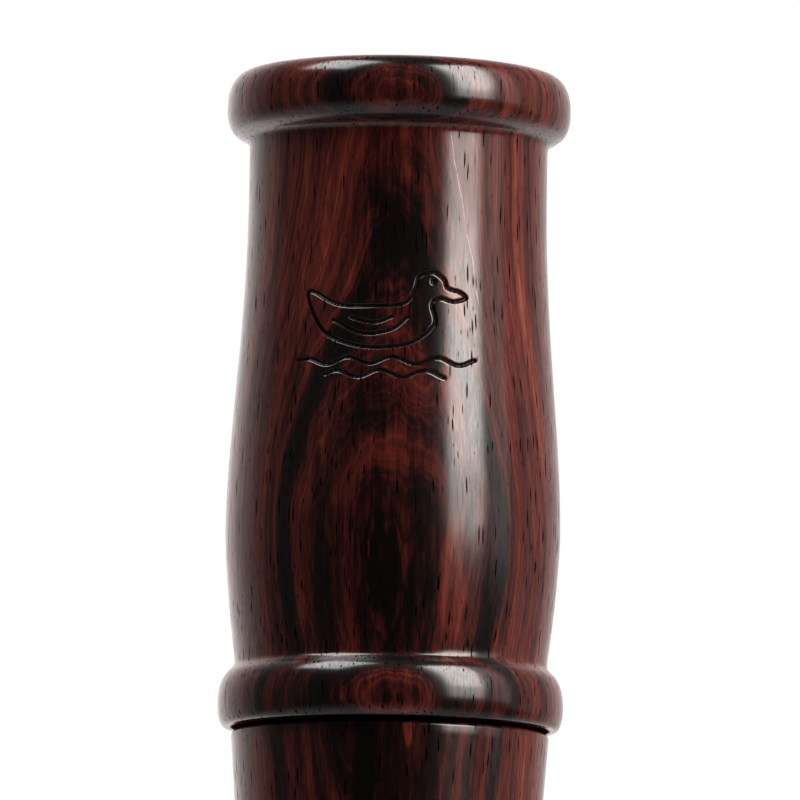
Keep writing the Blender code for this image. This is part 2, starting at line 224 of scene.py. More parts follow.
def barrel_profile():
    """Outer side from the lip down to the foot, then up the bore to the dished mouth."""
    top = BARREL_LENGTH
    under = NECK_RADIUS + UPPER_BEAD_FILLET
    under_height = top - UPPER_BEAD_HEIGHT
    crown_height = top - UPPER_CROWN_DROP
    shoulder = (SHOULDER_RADIUS, CREASE_HEIGHT + CREASE_WIDTH)
    swell = (SWELL_RADIUS, SWELL_HEIGHT)
    neck = (NECK_RADIUS, top - NECK_DROP)
    points = bead_arc(LIP_RADIUS, crown_height, BEAD_RADIUS - LIP_RADIUS, UPPER_CROWN_DROP, 90, 0, 24)
    points += bead_arc(under, crown_height, BEAD_RADIUS - under, crown_height - under_height,
                       0, UPPER_COVE_START, 20)[1:]
    foot = (NECK_RADIUS, under_height - UPPER_COVE)
    points += hollow(points[-1], Vector(points[-1]) - Vector(points[-2]), foot, (0.0, -1.0), 14)[1:]
    run_on(points, neck, 5)
    points += sweep(neck, swell, 84, bend=1.2)[1:]
    points += sweep(swell, shoulder, 40, bend=1.5, both=False)[1:]
    bead = bead_arc(CREASE_RADIUS, LOWER_CROWN_HEIGHT, BEAD_RADIUS - CREASE_RADIUS,
                    CREASE_HEIGHT - LOWER_CROWN_HEIGHT, COVE_END, 0, 22)
    wall = (-sin(radians(COVE_LEAN)), -cos(radians(COVE_LEAN)))
    points += hollow(shoulder, wall, bead[0], Vector(bead[1]) - Vector(bead[0]), 12)[1:]
    points += bead[1:]
    points += bead_arc(FOOT_RADIUS, LOWER_CROWN_HEIGHT, BEAD_RADIUS - FOOT_RADIUS,
                       LOWER_CROWN_HEIGHT, 0, -90, 14)[1:]
    run_on(points, (BORE_RADIUS + EDGE_BREAK, 0.0), 8)
    points.append((BORE_RADIUS, EDGE_BREAK))
    mouth = top - MOUTH_DISH
    run_on(points, (BORE_RADIUS, mouth - MOUTH_ROUND), 12)
    points += arc(BORE_RADIUS + MOUTH_ROUND, mouth - MOUTH_ROUND, MOUTH_ROUND, 180, 90, 12)[1:]
    dish = sweep((LIP_RADIUS, top), points[-1], 14)
    points += dish[-2:0:-1]
    return [(radius, height + BARREL_BASE) for radius, height in points]


def insert_profile():
    """Outer side from the top down to the standing ring, then up the exhaust and socket."""
    collar = (INSERT_TOP_RADIUS - INSERT_COLLAR * tan(INSERT_TAPER), INSERT_LENGTH - INSERT_COLLAR)
    waist = (WAIST_RADIUS, WAIST_HEIGHT)
    socket_floor = INSERT_LENGTH - SOCKET_DEPTH
    points = arc(INSERT_TOP_RADIUS - INSERT_TOP_ROUND, INSERT_LENGTH - INSERT_TOP_ROUND,
                 INSERT_TOP_ROUND, 90, 0, 8)
    run_on(points, collar, 14)
    points += blend_curve(collar, -tan(INSERT_TAPER), waist, 30)[1:]
    points += sweep(waist, (RIM_RADIUS, RIM_CROWN_HEIGHT), 36, bend=1.25)[1:]
    points += bead_arc(RIM_FACE_RADIUS, RIM_CROWN_HEIGHT, RIM_RADIUS - RIM_FACE_RADIUS,
                       RIM_CROWN_HEIGHT, 0, -90, 20)[1:]
    run_on(points, (EXHAUST_MOUTH_RADIUS + EDGE_BREAK, 0.0), 5)
    flare = sweep((EXHAUST_BORE_RADIUS, EXHAUST_FLARE), (EXHAUST_MOUTH_RADIUS, 0.0), 24,
                  bend=1.9, both=False)
    points += flare[-2::-1]
    run_on(points, (EXHAUST_BORE_RADIUS, socket_floor), 8)
    run_on(points, (SOCKET_RADIUS, socket_floor), 2)
    run_on(points, (SOCKET_RADIUS, INSERT_LENGTH - EDGE_BREAK), 8)
    points += [(SOCKET_RADIUS + EDGE_BREAK, INSERT_LENGTH)]
    run_on(points, (INSERT_TOP_RADIUS - INSERT_TOP_ROUND, INSERT_LENGTH), 6)
    return points[:-1]


# ------------ meshes
def new_object(name, data):
    made = bpy.data.objects.new(name, data)
    bpy.context.scene.collection.objects.link(made)
    return made


def new_mesh(name, places, faces):
    mesh = bpy.data.meshes.new(name)
    mesh.from_pydata(places, [], faces)
    mesh.update()
    return mesh


def round_over(mesh, sharp):
    """Shade smoothly, but for edges of more than sharp degrees."""
    mesh.shade_smooth()
    mesh.set_sharp_from_angle(angle=radians(sharp))


def even_angles(count):
    return [2.0 * pi * step / count for step in range(count)]


def ring_points(profile, count):
    """Points of a profile of (radius, height) turned round the Z axis, ring after ring."""
    return [(radius * cos(turn), radius * sin(turn), height)
            for radius, height in profile for turn in even_angles(count)]


def ring_faces(rings, count, gaps):
    """Faces from each ring to the next one, over a number of gaps."""
    return [(row * count + n, (row + 1) % rings * count + n,
             (row + 1) % rings * count + (n + 1) % count, row * count + (n + 1) % count)
            for row in range(gaps) for n in range(count)]


def turned(name, profile, count):
    """Turned shape whose profile closes on itself."""
    rings = len(profile)
    return new_object(name, new_mesh(name, ring_points(profile, count), ring_faces(rings, count, rings)))


# ------------ engraving
# A swimming duck over two ripples, cut into the front of the barrel. Places are
# millimetres across the curved front and up from the middle of the drawing.
ENGRAVING_HEIGHT = BARREL_BASE + 41.6 * MM
ENGRAVING_SIDE = -1.2 * MM
ENGRAVING_SCALE = 1.18
STROKE_HALF = 0.25 * MM
STROKE_DEPTH = 0.24 * MM
STROKE_ROUND = 0.8  # under 1 makes a stroke rounder than a V
BAND_HALF = 6.6 * MM  # half the height of the finely divided band
BAND_TURN = 36  # degrees that it covers to each side of the front
BAND_ROW = 0.1 * MM  # height of its rows
CELL_TURN = 3  # degrees of a coarse column
FINE_STEPS = 9  # fine columns in a coarse one
DRAWING_HALF = 14.0 * MM
DRAWING_INNER = 12.0 * MM  # nothing nearer to the axis is cut
RIPPLE_HEIGHT = 0.32
RIPPLE_LENGTH = 4.1
EYE_PLACE = (4.35, 4.05)
EYE_SIZE = 0.12

DUCK_BODY = ((7.5, 2.7), (6.9, 3.2), (5.7, 3.5), (5.35, 4.25), (4.3, 4.9), (3.1, 4.45), (2.65, 3.2),
             (1.7, 2.0), (-1.2, 1.75), (-4.4, 1.95), (-7.3, 3.3), (-6.9, 1.3), (-5.2, -0.9),
             (-1.6, -2.0), (2.3, -1.6), (4.5, 0.1), (4.25, 1.9), (5.0, 2.55), (6.3, 2.3))
DUCK_WING = ((2.0, 0.7), (0.6, -0.4), (-2.0, -0.75), (-4.8, 0.55))
DUCK_FEATHERS = ((0.6, 0.75), (-1.0, 0.25), (-3.2, 0.75))


def smooth_line(points, closed):
    """Points along a soft curve through the given ones."""
    steps = 8
    count = len(points)
    line = []
    for start in range(count if closed else count - 1):
        near = [start - 1, start, start + 1, start + 2]
        near = [n % count if closed else min(max(n, 0), count - 1) for n in near]
        a, b, c, d = (Vector(points[n]) for n in near)
        for step in range(steps):
            t = step / steps
            line.append(0.5 * ((2 * b) + (c - a) * t + (2 * a - 5 * b + 4 * c - d) * t ** 2
                               + (3 * b - a - 3 * c + d) * t ** 3))
    line.append(Vector(points[0] if closed else points[-1]))
    return line


def ripple(length, height):
    """Wavy water line."""
    steps = 48
    waves = 2.0 * pi * length / RIPPLE_LENGTH
    return [Vector((length * (step / steps - 0.5), height + RIPPLE_HEIGHT * sin(waves * step / steps)))
            for step in range(steps + 1)]


def engraving_strokes():
    """The drawing's short straight strokes, each a start and an end."""
    eye = [Vector((EYE_PLACE[0] + EYE_SIZE * cos(turn), EYE_PLACE[1] + EYE_SIZE * sin(turn)))
           for turn in (0.0, 2.1, 4.2, 6.3)]
    lines = [smooth_line(DUCK_BODY, True), smooth_line(DUCK_WING, False), smooth_line(DUCK_FEATHERS, False),
             eye, ripple(17.0, -3.2), ripple(11.0, -4.4)]
    strokes = []
    for line in lines:
        points = [np.array(point * ENGRAVING_SCALE * MM) for point in line]
        strokes += zip(points, points[1:])
    return strokes


def engraving_cut(across, up):
    """Depth of the cut, 0 to 1, at places on the unrolled front."""
    places = np.stack([across, up], axis=-1)
    nearest = np.full(len(places), 1.0)
    for start, end in engraving_strokes():
        along = end - start
        share = np.clip((places - start) @ along / (along @ along), 0.0, 1.0)
        gap = np.linalg.norm(places - start - share[:, None] * along, axis=1)
        nearest = np.minimum(nearest, gap)
    return np.clip(1.0 - nearest / STROKE_HALF, 0.0, 1.0) ** STROKE_ROUND


def band_profile(profile):
    """The profile with its rows set close together over the engraving's height."""
    low, high = ENGRAVING_HEIGHT - BAND_HALF, ENGRAVING_HEIGHT + BAND_HALF
    first = next(n for n, point in enumerate(profile) if point[1] < high)
    last = next(n for n, point in enumerate(profile) if point[1] < low)
    radii, heights = zip(*reversed(profile[first - 1:last + 1]))
    rows = int(round((high - low) / BAND_ROW))
    levels = [high - (high - low) * row / rows for row in range(rows + 1)]
    band = list(zip(np.interp(levels, heights, radii), levels))
    return profile[:first] + band + profile[last:], first, first + rows


def make_barrel(name):
    """Turned barrel whose front has a fine grid for the engraving."""
    profile, band_top, band_foot = band_profile(barrel_profile())
    cells = 360 // CELL_TURN
    fine_from, fine_to = -BAND_TURN // CELL_TURN, BAND_TURN // CELL_TURN
    columns = cells * FINE_STEPS
    places, index = [], {}

    def vertex(row, step):
        """step counts fine columns from the middle of the front."""
        step = step % columns
        if (row, step) not in index:
            index[row, step] = len(places)
            radius, height = profile[row]
            turn = -pi / 2 + 2.0 * pi * step / columns
            places.append((radius, turn, height))
        return index[row, step]

    faces = []
    rows = len(profile)
    for row in range(rows):
        below = (row + 1) % rows
        for cell in range(fine_from, fine_from + cells):
            start, end = cell * FINE_STEPS, (cell + 1) * FINE_STEPS
            fine = fine_from <= cell < fine_to
            fine_above = fine and band_top <= row <= band_foot
            fine_below = fine and band_top <= below <= band_foot
            if fine_above and fine_below:
                for step in range(start, end):
                    faces.append((vertex(row, step), vertex(below, step),
                                  vertex(below, step + 1), vertex(row, step + 1)))
                continue
            lower = range(start, end + 1) if fine_below else (start, end)
            upper = range(end, start - 1, -1) if fine_above else (end, start)
            faces.append(tuple(vertex(below, step) for step in lower)
                         + tuple(vertex(row, step) for step in upper))
    radius, turn, height = np.array(places).T
    across = (np.mod(turn + pi / 2 + pi, 2.0 * pi) - pi) * radius
    front = (np.abs(height - ENGRAVING_HEIGHT) < BAND_HALF) & (np.abs(across) < DRAWING_HALF)
    front &= radius > DRAWING_INNER
    cut = np.zeros(len(places))
    cut[front] = engraving_cut(across[front] - ENGRAVING_SIDE, height[front] - ENGRAVING_HEIGHT)
    radius = radius - STROKE_DEPTH * cut
    mesh = new_mesh(name, np.stack([radius * np.cos(turn), radius * np.sin(turn), height], axis=-1), faces)
    mark = mesh.attributes.new("engraved", "FLOAT", "POINT")
    mark.data.foreach_set("value", cut.astype(np.float32))
    return new_object(name, mesh)


# ------------ shading helpers
class Web:
    """A node tree that is written as plain calls; most of them return an output to pass on."""

    def __init__(self, tree):
        self.tree = tree

    def feed(self, socket, value):
        """Join an output to a socket, or set the socket to a plain value."""
        if isinstance(value, bpy.types.NodeSocket):
            self.tree.links.new(value, socket)
        else:
            socket.default_value = value

    def node(self, kind, inputs=None, **settings):
        made = self.tree.nodes.new("ShaderNode" + kind)
        for name, value in settings.items():
            setattr(made, name, value)
        for name, value in (inputs or {}).items():
            self.feed(made.inputs[name], value)
        return made

    def math(self, operation, first, second=0.0, clamp=False):
        made = self.node("Math", {0: first, 1: second}, operation=operation, use_clamp=clamp)
        return made.outputs[0]

    def plus(self, first, second):
        return self.math("ADD", first, second)

    def less(self, first, second, clamp=False):
        return self.math("SUBTRACT", first, second, clamp)

    def times(self, first, second):
        return self.math("MULTIPLY", first, second)

    def vector(self, operation, first, second):
        made = self.node("VectorMath", {0: first, 1: second}, operation=operation)
        return made.outputs[0]

    def stretch(self, place, across, along):
        """A place with its sides and its height scaled."""
        return self.vector("MULTIPLY", place, (across, across, along))

    def millimetres(self, place):
        return self.stretch(place, 1000.0, 1000.0)

    def place(self):
        """Place in the piece's own space, in metres."""
        return self.node("TexCoord").outputs["Object"]

    def parts(self, place):
        return self.node("SeparateXYZ", {"Vector": place}).outputs

    def channel(self, colour, name):
        return self.node("SeparateColor", {"Color": colour}).outputs[name]

    def length(self, place):
        return self.node("VectorMath", {0: place}, operation="LENGTH").outputs[1]

    def noise(self, vector, scale, detail=2.0, roughness=0.5, dimensions="3D", output="Fac"):
        name = "W" if dimensions == "1D" else "Vector"
        values = {name: vector, "Scale": scale, "Detail": detail, "Roughness": roughness}
        made = self.node("TexNoise", values, noise_dimensions=dimensions)
        return made.outputs[output]

    def sway(self, *noise):
        """Noise about zero."""
        return self.less(self.noise(*noise), 0.5)

    def spread(self, value, low, high, to_low=0.0, to_high=1.0, smooth=True):
        """Map low..high to to_low..to_high, clamped."""
        kind = "SMOOTHSTEP" if smooth else "LINEAR"
        values = {"Value": value, "From Min": low, "From Max": high, "To Min": to_low, "To Max": to_high}
        made = self.node("MapRange", values, interpolation_type=kind)
        return made.outputs["Result"]

    def mix(self, share, first, second):
        made = self.node("Mix", {0: share, 6: first, 7: second}, data_type="RGBA")
        return made.outputs[2]

    def ramp(self, share, stops):
        made = self.node("ValToRGB", {"Fac": share})
        band = made.color_ramp
        while len(band.elements) < len(stops):
            band.elements.new(1.0)
        for element, (position, colour) in zip(band.elements, stops):
            element.position = position
            element.color = (*colour, 1.0)
        return made.outputs["Color"]


def start_group(name, inputs, outputs):
    """Make a node group that takes a place and the named values, and gives the named values."""
    tree = bpy.data.node_groups.new(name, "ShaderNodeTree")
    tree.interface.new_socket("Vector", in_out="INPUT", socket_type="NodeSocketVector")
    for label, default in inputs.items():
        socket = tree.interface.new_socket(label, in_out="INPUT", socket_type="NodeSocketFloat")
        socket.default_value = default
    for label in outputs:
        tree.interface.new_socket(label, in_out="OUTPUT", socket_type="NodeSocketFloat")
    return Web(tree), tree.nodes.new("NodeGroupInput").outputs, tree.nodes.new("NodeGroupOutput").inputs


def growth_rings_group():
    """Depth of a point in the tree, in millimetres, below a ring that touches the front of the swelling.

    The heart of the tree runs up behind the piece, leaning a little, so the rings
    make arches on the front and straight stripes on the sides.
    """
    web, source, sink = start_group(
        "growth_rings",
        {"Heart Distance": 40.0, "Heart Side": 0.8, "Lean": 0.05, "Start Height": 82.0,
         "Start Radius": 17.9, "Slow Wave": 2.2, "Quick Wave": 0.8, "Feather": 0.42},
        ["Depth", "Clean Depth"])
    place = web.millimetres(source["Vector"])
    slow = web.sway(web.stretch(place, 0.10, 0.028), 1.0, 1.0)
    quick = web.sway(web.stretch(place, 0.38, 0.06), 1.0, 2.0)
    feather = web.sway(web.stretch(place, 2.6, 0.16), 1.0, 3.0, 0.6)
    part = web.parts(place)
    across = web.less(part["X"], source["Heart Side"])
    behind = web.less(source["Heart Distance"], part["Y"])
    distance = web.math("SQRT", web.plus(web.times(across, across), web.times(behind, behind)))
    depth = web.less(distance, web.plus(source["Heart Distance"], source["Start Radius"]))
    climb = web.less(source["Start Height"], part["Z"])
    depth = web.plus(depth, web.times(climb, source["Lean"]))
    for wave, amount in ((slow, "Slow Wave"), (quick, "Quick Wave"), (feather, "Feather")):
        depth = web.plus(depth, web.times(wave, source[amount]))
        if amount == "Quick Wave":
            web.feed(sink["Clean Depth"], depth)
    web.feed(sink["Depth"], depth)
    return web.tree


def pigment_cloud_group():
    """A dark or light streak of pigment with feathered ends. Mask is 1 in its middle.

    Centre and Size are in millimetres; Size is the half-length along each axis.
    """
    web, source, sink = start_group(
        "pigment_cloud",
        {"Centre X": 0.0, "Centre Z": 0.0, "Size X": 3.0, "Size Z": 6.0, "Lean X": 0.0, "Ragged": 0.8},
        ["Mask"])
    place = web.millimetres(source["Vector"])
    part = web.parts(place)
    rise = web.less(part["Z"], source["Centre Z"])
    side = web.less(part["X"], source["Centre X"])
    side = web.less(side, web.times(rise, source["Lean X"]))
    across = web.math("DIVIDE", side, source["Size X"])
    along = web.math("DIVIDE", rise, source["Size Z"])
    reach = web.math("SQRT", web.plus(web.times(across, across), web.times(along, along)))
    coarse = web.sway(web.stretch(place, 0.55, 0.14), 1.0, 2.0)
    fine = web.sway(web.stretch(place, 2.4, 0.24), 1.0, 3.0, 0.6)
    reach = web.plus(reach, web.times(web.plus(coarse, fine), source["Ragged"]))
    front = web.spread(part["Y"], 2.0, -6.0)
    web.feed(sink["Mask"], web.times(web.spread(reach, 1.15, 0.45), front))
    return web.tree


def vessels_group():
    """Open pores: short thin tubes along the grain. Mask is 1 inside one."""
    web, source, sink = start_group(
        "vessels",
        {"Spacing": 0.45, "Length": 5.6, "Width": 0.27, "Share": 0.5, "Drift": 2.6},
        ["Mask"])
    place = web.millimetres(source["Vector"])
    bend = web.noise(web.stretch(place, 0.07, 0.05), 1.0, 1.0, output="Color")
    bend = web.vector("SUBTRACT", bend, (0.5, 0.5, 0.5))
    drift = web.node("VectorMath", {0: bend, "Scale": source["Drift"]}, operation="SCALE")
    place = web.vector("ADD", place, drift.outputs[0])
    across = web.math("DIVIDE", 1.0, source["Spacing"])
    along = web.math("DIVIDE", 1.0, source["Length"])
    stretch = web.node("CombineXYZ", {"X": across, "Y": across, "Z": along}).outputs[0]
    cell = web.node("TexVoronoi", {"Vector": web.vector("MULTIPLY", place, stretch), "Scale": 1.0}).outputs
    near = web.less(1.0, web.math("DIVIDE", cell["Distance"], source["Width"]), clamp=True)
    near = web.spread(near, 0.0, 0.45)
    chance = web.channel(cell["Color"], "Red")
    chosen = web.math("LESS_THAN", chance, source["Share"])
    web.feed(sink["Mask"], web.times(near, chosen))
    return web.tree


def pale_vein_group():
    """A hair-thin pale line that wanders up the grain. Mask is 1 on it."""
    web, source, sink = start_group(
        "pale_vein",
        {"Start X": 5.4, "Start Z": 121.0, "Slope": -0.19, "Length": 19.0, "Width": 0.075},
        ["Mask"])
    place = web.millimetres(source["Vector"])
    part = web.parts(place)
    drop = web.less(source["Start Z"], part["Z"])
    line = web.less(source["Start X"], web.times(drop, source["Slope"]))
    wander = web.sway(web.times(part["Z"], 0.16), 1.0, 1.0, 0.4, "1D")
    line = web.plus(line, web.times(wander, 0.7))
    away = web.math("ABSOLUTE", web.less(part["X"], line))
    mask = web.less(1.0, web.math("DIVIDE", away, source["Width"]), clamp=True)
    worn = web.spread(web.noise(web.times(part["Z"], 0.5), 1.0, 2.0, 0.5, "1D"), 0.36, 0.55)
    start, end = web.spread(drop, 0.0, 0.6), web.spread(web.less(source["Length"], drop), 0.0, 2.0)
    front = web.math("LESS_THAN", part["Y"], 0.0)
    web.feed(sink["Mask"], web.times(web.times(mask, worn), web.times(web.times(start, end), front)))
    return web.tree


def use_group(web, tree, vector, **values):
    made = web.node("Group", node_tree=tree)
    web.feed(made.inputs["Vector"], vector)
    for name, value in values.items():
        made.inputs[name.replace("_", " ").title()].default_value = value
    return made.outputs


# ------------ materials
# Heartwood colours from the darkest to the brightest tone.
WOOD_TONES = (
    (0.00, (0.0026, 0.0018, 0.0018)), (0.16, (0.0074, 0.0024, 0.0022)), (0.32, (0.022, 0.0042, 0.0035)),
    (0.50, (0.050, 0.0082, 0.0060)), (0.68, (0.086, 0.0140, 0.0090)), (0.86, (0.140, 0.028, 0.0145)),
    (1.00, (0.22, 0.058, 0.025)),
)

SIDE_TONE = 0.65
TONE_CONTRAST = 0.84
FRONT_CONTRAST = 0.86
FRONT_TONE = 0.02
PORE_COLOUR = (0.0012, 0.0008, 0.0008, 1.0)
VEIN_COLOUR = (0.42, 0.40, 0.40, 1.0)
CUT_COLOUR = (0.0050, 0.0021, 0.0015, 1.0)
SMALL_PORES = {"spacing": 0.32, "length": 1.7, "width": 0.24, "share": 0.2}
OILED_LOSS = 0.88  # share of the lacquer that an oiled face goes without

# Grain that shifts the tone: name, scale across and along it, detail, roughness, strength.
GRAIN = (
    ("drifts", 0.75, 0.035, 3.0, 0.6, 0.95),
    ("hairs", 4.6, 0.26, 4.0, 0.65, 0.62),
    ("mottle", 1.6, 0.5, 3.0, 0.6, 0.22),
)
# Lines that follow the rings: scale, detail, roughness, strength.
RING_LINES = ((2.7, 3.0, 0.7, 0.85), (8.5, 2.0, 0.6, 0.45))
# The same for the stripes on the sides.
SIDE_STRIPES = ((0.42, 1.0, 0.5, 0.7), (1.5, 2.0, 0.6, 0.8))

# Tone of the heartwood on the front, by depth in the tree in millimetres.
FIGURE = (
    (-4.7, 0.50), (-4.35, 0.62), (-3.9, 0.42), (-3.45, 0.60), (-3.25, 0.48), (-3.0, 0.08), (-2.6, 0.01),
    (-2.3, 0.36), (-2.0, 0.54), (-1.6, 0.52), (-1.35, 0.30), (-1.15, 0.16), (-0.95, 0.50), (-0.7, 0.6),
    (-0.5, 0.34), (-0.36, 0.10), (-0.2, 0.38), (-0.06, 0.46), (0.1, 0.10), (0.9, 0.02), (1.3, 0.3),
    (1.7, 0.5),
)

# Streaks on the barrel's front: side and height of the middle, half sizes, lean, ragged, change of tone.
BARREL_STREAKS = (
    (-0.4, 111.2, 3.7, 4.6, 0.0, 0.75, -0.5),
    (-1.4, 116.0, 2.0, 5.0, 0.0, 0.8, -0.22),
    (3.6, 107.6, 2.4, 3.6, -0.3, 0.7, -0.3),
    (-0.9, 74.5, 1.7, 8.0, 0.0, 0.8, -0.34),
    (1.9, 70.5, 0.8, 5.5, 0.0, 0.7, -0.25),
    (0.2, 61.2, 4.0, 2.6, 0.0, 0.7, -0.3),
    (0.2, 125.2, 3.6, 3.0, 0.0, 0.7, -0.16),
    (-8.4, 106.0, 2.4, 12.0, 0.02, 0.8, 0.12),
    (-9.6, 75.0, 1.4, 12.0, 0.02, 0.8, 0.24),
    (-6.6, 73.5, 2.0, 10.0, 0.02, 0.8, -0.2),
    (-2.8, 92.0, 3.2, 4.6, 0.0, 0.7, -0.14),
    (6.0, 98.0, 1.5, 14.0, -0.03, 0.8, 0.3),
    (6.4, 72.5, 1.5, 8.5, 0.04, 0.8, 0.42),
    (-0.6, 103.0, 2.8, 3.2, 0.0, 0.6, 0.26),
    (1.0, 91.5, 3.6, 4.6, 0.0, 0.6, 0.08),
    (-2.2, 120.5, 3.0, 4.4, 0.0, 0.6, 0.2),
    (4.0, 100.0, 1.3, 7.5, -0.05, 0.7, -0.35),
    (-5.6, 99.5, 1.3, 5.0, 0.14, 0.6, -0.3),
)
INSERT_STREAKS = (
    (-2.4, 50.0, 1.4, 16.0, 0.0, 0.8, -0.3),
    (5.5, 36.0, 1.6, 14.0, 0.0, 0.8, -0.35),
    (-6.0, 30.0, 2.0, 12.0, 0.0, 0.8, -0.4),
)


def tone_stops(figure):
    """Stops of a grey ramp over a list of (place, tone), with the places brought to 0 to 1."""
    low, high = figure[0][0], figure[-1][0]
    return [((depth - low) / (high - low), (tone, tone, tone)) for depth, tone in figure]


def new_material(name, **values):
    """A web on a new material, with its shader's uniform values set."""
    made = bpy.data.materials.new(name)
    made.use_nodes = True
    web = Web(made.node_tree)
    web.material = made
    web.shader = made.node_tree.nodes["Principled BSDF"].inputs
    for label, value in values.items():
        web.shader[label.replace("_", " ").title().replace("Ior", "IOR")].default_value = value
    return web


def paint(web, colour, rough, height, distance, strength):
    """Give the material its colour, roughness and relief."""
    bump = web.node("Bump", {"Height": height, "Distance": distance, "Strength": strength})
    web.feed(web.shader["Base Color"], colour)
    web.feed(web.shader["Roughness"], rough)
    web.feed(web.shader["Normal"], bump.outputs["Normal"])
    return web.material


def oiled_ends(web, place, face_radius, bottom, top, foot, foot_radius):
    """Share of lacquer on a piece whose top end face is only oiled and whose foot is left bare."""
    part = web.parts(place)
    radius = web.length(web.stretch(place, 1.0, 0.0))
    inner = web.spread(radius, face_radius + 0.3 * MM, face_radius - 0.6 * MM)
    high = web.spread(part["Z"], bottom, top)
    share = web.less(1.0, web.times(web.times(inner, high), OILED_LOSS))
    low = web.spread(part["Z"], foot + 0.16 * MM, foot + 0.02 * MM)
    under = web.times(low, web.spread(radius, foot_radius + 0.15 * MM, foot_radius - 0.15 * MM))
    return web.times(share, web.less(1.0, under))


def ring_tone(web, ring, depth_offset):
    """Tone from the growth rings: the arches on the front, the stripes on the sides and the fine lines."""
    depth = web.plus(ring["Depth"], depth_offset)
    low, high = FIGURE[0][0], FIGURE[-1][0]
    front = web.ramp(web.spread(depth, low, high, smooth=False), tone_stops(FIGURE))
    front = web.channel(front, "Red")
    front = web.plus(web.times(front, FRONT_CONTRAST), FRONT_TONE)
    side = SIDE_TONE
    for scale, detail, roughness, strength in SIDE_STRIPES:
        side = web.plus(side, web.times(web.sway(depth, scale, detail, roughness, "1D"), strength))
    inside = web.times(web.spread(depth, low - 0.2, low + 1.2), web.spread(depth, high, high - 0.5))
    tone = web.plus(web.times(inside, front), web.times(web.less(1.0, inside), side))
    for scale, detail, roughness, strength in RING_LINES:
        line = web.sway(ring["Clean Depth"], scale, detail, roughness, "1D")
        tone = web.plus(tone, web.times(line, strength))
    return tone


def rosewood(name, groups, streaks, oiled, depth_offset=0.0, tone_shift=0.0, engraved=False, vein=False,
             **ring_values):
    """Oily dark rosewood, sanded fine and lacquered."""
    rings, cloud, vessels, pale_vein = groups
    web = new_material(name, specular_ior_level=0.0, coat_roughness=0.18, coat_ior=1.55)
    place = web.place()
    size = web.millimetres(place)
    tone = ring_tone(web, use_group(web, rings, place, **ring_values), depth_offset)
    for x, z, half_x, half_z, lean, ragged, change in streaks:
        mask = use_group(web, cloud, place, centre_x=x, centre_z=z, size_x=half_x, size_z=half_z,
                         lean_x=lean, ragged=ragged)["Mask"]
        tone = web.plus(tone, web.times(mask, change))
    grain = {}
    for part, across, along, detail, roughness, strength in GRAIN:
        grain[part] = web.sway(web.stretch(size, across, along), 1.0, detail, roughness)
        tone = web.plus(tone, web.times(grain[part], strength))
    hairs = grain["hairs"]
    colour = web.ramp(web.plus(web.times(tone, TONE_CONTRAST), tone_shift), WOOD_TONES)

    pores = use_group(web, vessels, place)["Mask"]
    small = use_group(web, vessels, place, **SMALL_PORES)["Mask"]
    pores = web.math("MAXIMUM", pores, web.times(small, 0.8))
    colour = web.mix(pores, colour, PORE_COLOUR)
    if vein:
        line = use_group(web, pale_vein, place)["Mask"]
        colour = web.mix(web.times(line, 0.65), colour, VEIN_COLOUR)
    rough = web.spread(hairs, -0.3, 0.3, 0.45, 0.62, smooth=False)
    lacquer = web.times(web.less(1.0, pores), web.spread(hairs, -0.22, 0.2, 0.55, 1.0, smooth=False))
    if engraved:
        cut = web.node("Attribute", attribute_name="engraved").outputs["Fac"]
        cut = web.spread(cut, 0.0, 0.3)
        colour = web.mix(cut, colour, CUT_COLOUR)
        lacquer = web.times(lacquer, web.less(1.0, web.times(cut, 0.8)))
    lacquer = web.times(lacquer, oiled_ends(web, place, *oiled))
    web.feed(web.shader["Coat Weight"], lacquer)
    height = web.plus(web.times(pores, -1.0), web.times(hairs, 0.12))
    return paint(web, colour, rough, height, 0.00004, 0.5)


# ------------ pieces
def combine(target, cutter, operation="DIFFERENCE"):
    """Cut with or keep what lies inside another solid, then drop that solid."""
    step = target.modifiers.new("combine", "BOOLEAN")
    step.operation = operation
    step.solver = "EXACT"
    step.object = cutter
    apply_modifiers(target)
    bpy.data.objects.remove(cutter)


def apply_modifiers(piece):
    """Turn the piece's modifiers into plain mesh."""
    bpy.context.view_layer.update()
    seen = piece.evaluated_get(bpy.context.evaluated_depsgraph_get())
    mesh = bpy.data.meshes.new_from_object(seen)
    piece.modifiers.clear()
    piece.data = mesh


def soften_edges(piece, width, segments=2):
    bevel = piece.modifiers.new("soft_edges", "BEVEL")
    bevel.width = width
    bevel.segments = segments
    bevel.limit_method = "ANGLE"
    bevel.angle_limit = radians(BEVEL_ANGLE)
    bevel.harden_normals = True
    apply_modifiers(piece)


def prism(name, outline, low, high):
    """Close a (y, z) outline between two x places."""
    return closed_between(name, [(low, y, z) for y, z in outline], [(high, y, z) for y, z in outline])


def plate(name, outline, front, back):
    """Close an (x, z) outline between two surfaces that give y for a height."""
    return closed_between(name, [(x, front(z), z) for x, z in outline],
                          [(x, back(z), z) for x, z in outline])


def closed_between(name, first, second):
    """Join two matching loops of points by a wall and close both ends."""
    count = len(first)
    faces = [tuple(range(count)), tuple(range(2 * count - 1, count - 1, -1))]
    faces += [(n, count + n, count + (n + 1) % count, (n + 1) % count) for n in range(count)]
    return closed_object(name, first + second, faces)


def closed_object(name, places, faces):
    """A solid whose faces all look outwards."""
    mesh = new_mesh(name, places, faces)
    shape = bmesh.new()
    shape.from_mesh(mesh)
    bmesh.ops.recalc_face_normals(shape, faces=shape.faces)
    shape.to_mesh(mesh)
    shape.free()
    round_over(mesh, CUT_SHARP)
    return new_object(name, mesh)


